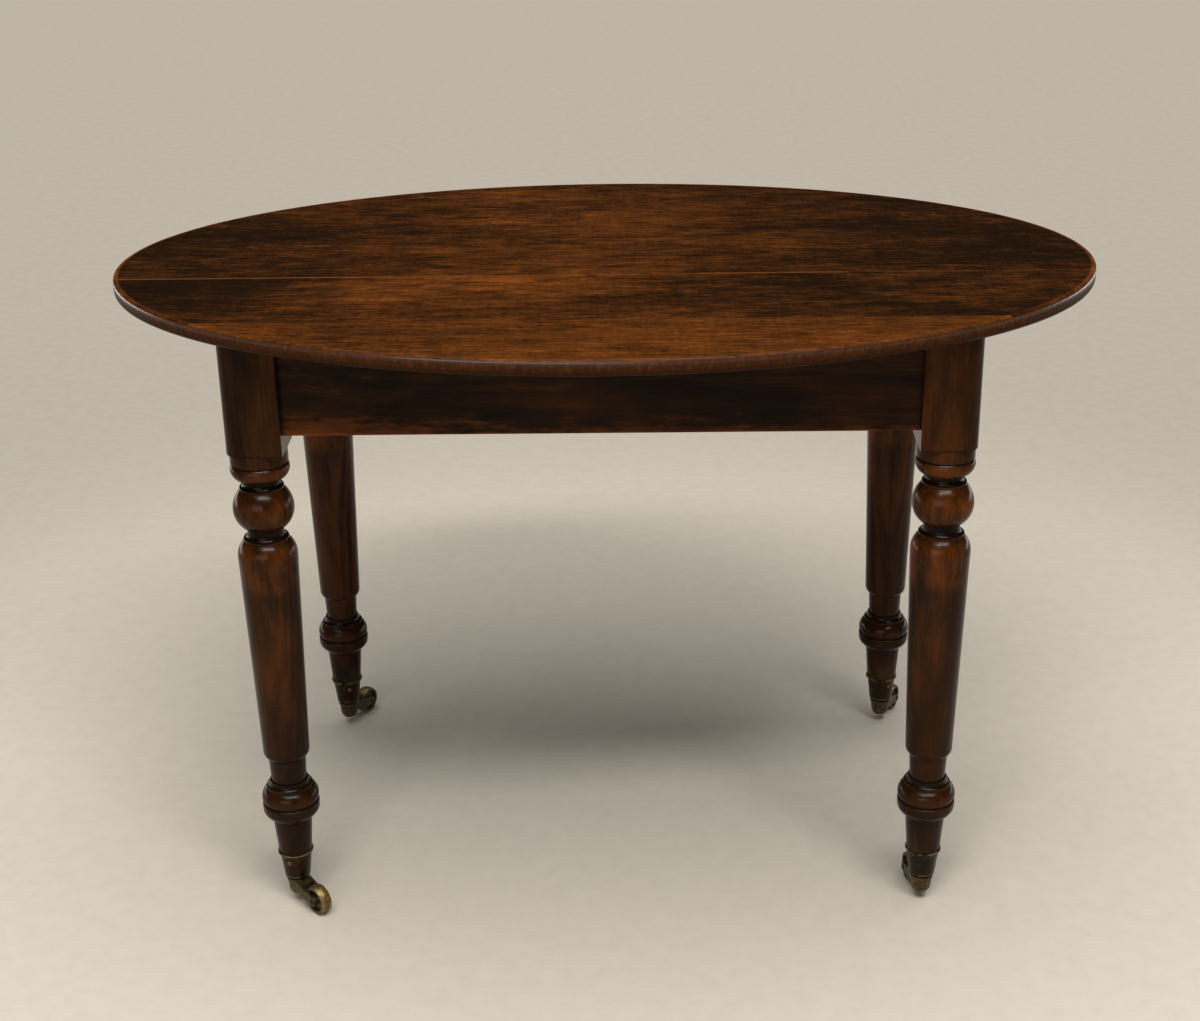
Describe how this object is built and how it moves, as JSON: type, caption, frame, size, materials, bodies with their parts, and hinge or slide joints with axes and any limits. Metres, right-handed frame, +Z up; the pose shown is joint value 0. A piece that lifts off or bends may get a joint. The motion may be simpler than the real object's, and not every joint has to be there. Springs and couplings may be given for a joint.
{
  "type": "kitchen table",
  "caption": "Oval wooden kitchen table: boarded top with rounded edge on a railed frame, with turned legs ending in brass cup castors that swivel and roll.",
  "frame": {"origin": "On the floor under the middle of the top.", "axes": "+X along the length of the top, front at -Y, +Z up."},
  "size_m": [1.1299, 0.735, 0.735],
  "materials": {
    "top_wood": "worn dark varnish",
    "frame_wood": "dark stained, satin",
    "dowel_wood": "bare",
    "screw_steel": "dull",
    "pin_steel": "dark, oiled",
    "cup_brass": "dark patina",
    "fork_brass": "dark patina",
    "wheel_brass": "worn bright on the tread"
  },
  "bodies": {
    "table": {"top_board_front": "top_wood", "top_board_middle": "top_wood", "top_board_rear": "top_wood", "top_joint_dowels": "dowel_wood", "rail_front": "frame_wood", "rail_rear": "frame_wood", "rail_left": "frame_wood", "rail_right": "frame_wood", "top_screws": "screw_steel", "leg_front_left": "frame_wood", "castor_cup_front_left": "cup_brass", "swivel_pin_front_left": "pin_steel", "leg_front_right": "frame_wood", "castor_cup_front_right": "cup_brass", "swivel_pin_front_right": "pin_steel", "leg_rear_left": "frame_wood", "castor_cup_rear_left": "cup_brass", "swivel_pin_rear_left": "pin_steel", "leg_rear_right": "frame_wood", "castor_cup_rear_right": "cup_brass", "swivel_pin_rear_right": "pin_steel", "castor_cup_screws": "screw_steel"},
    "castor_front_left": {"castor_fork_front_left": "fork_brass", "castor_axle_front_left": "pin_steel", "swivel_washer_front_left": "pin_steel"},
    "wheel_front_left": {"castor_wheel_front_left": "wheel_brass"},
    "castor_front_right": {"castor_fork_front_right": "fork_brass", "castor_axle_front_right": "pin_steel", "swivel_washer_front_right": "pin_steel"},
    "wheel_front_right": {"castor_wheel_front_right": "wheel_brass"},
    "castor_rear_left": {"castor_fork_rear_left": "fork_brass", "castor_axle_rear_left": "pin_steel", "swivel_washer_rear_left": "pin_steel"},
    "wheel_rear_left": {"castor_wheel_rear_left": "wheel_brass"},
    "castor_rear_right": {"castor_fork_rear_right": "fork_brass", "castor_axle_rear_right": "pin_steel", "swivel_washer_rear_right": "pin_steel"},
    "wheel_rear_right": {"castor_wheel_rear_right": "wheel_brass"}
  },
  "joints": [
    {"name": "swivel_front_left", "type": "hinge", "parent": "table", "child": "castor_front_left", "pos_m": [-0.3745, -0.2155, 0.0355], "axis": [0, 0, 1], "continuous": true},
    {"name": "roll_front_left", "type": "hinge", "parent": "castor_front_left", "child": "wheel_front_left", "pos_m": [-0.34657, -0.24343, 0.018], "axis": [0.7071, 0.7071, 0], "continuous": true},
    {"name": "swivel_front_right", "type": "hinge", "parent": "table", "child": "castor_front_right", "pos_m": [0.3745, -0.2155, 0.0355], "axis": [0, 0, 1], "continuous": true},
    {"name": "roll_front_right", "type": "hinge", "parent": "castor_front_right", "child": "wheel_front_right", "pos_m": [0.36832, -0.17649, 0.018], "axis": [-0.9877, -0.1564, 0], "continuous": true},
    {"name": "swivel_rear_left", "type": "hinge", "parent": "table", "child": "castor_rear_left", "pos_m": [-0.3745, 0.2155, 0.0355], "axis": [0, 0, 1], "continuous": true},
    {"name": "roll_rear_left", "type": "hinge", "parent": "castor_rear_left", "child": "wheel_rear_left", "pos_m": [-0.35535, 0.25005, 0.018], "axis": [-0.8746, 0.4848, 0], "continuous": true},
    {"name": "swivel_rear_right", "type": "hinge", "parent": "table", "child": "castor_rear_right", "pos_m": [0.3745, 0.2155, 0.0355], "axis": [0, 0, 1], "continuous": true},
    {"name": "roll_rear_right", "type": "hinge", "parent": "castor_rear_right", "child": "wheel_rear_right", "pos_m": [0.39304, 0.25038, 0.018], "axis": [-0.8829, 0.4695, 0], "continuous": true}
  ]
}
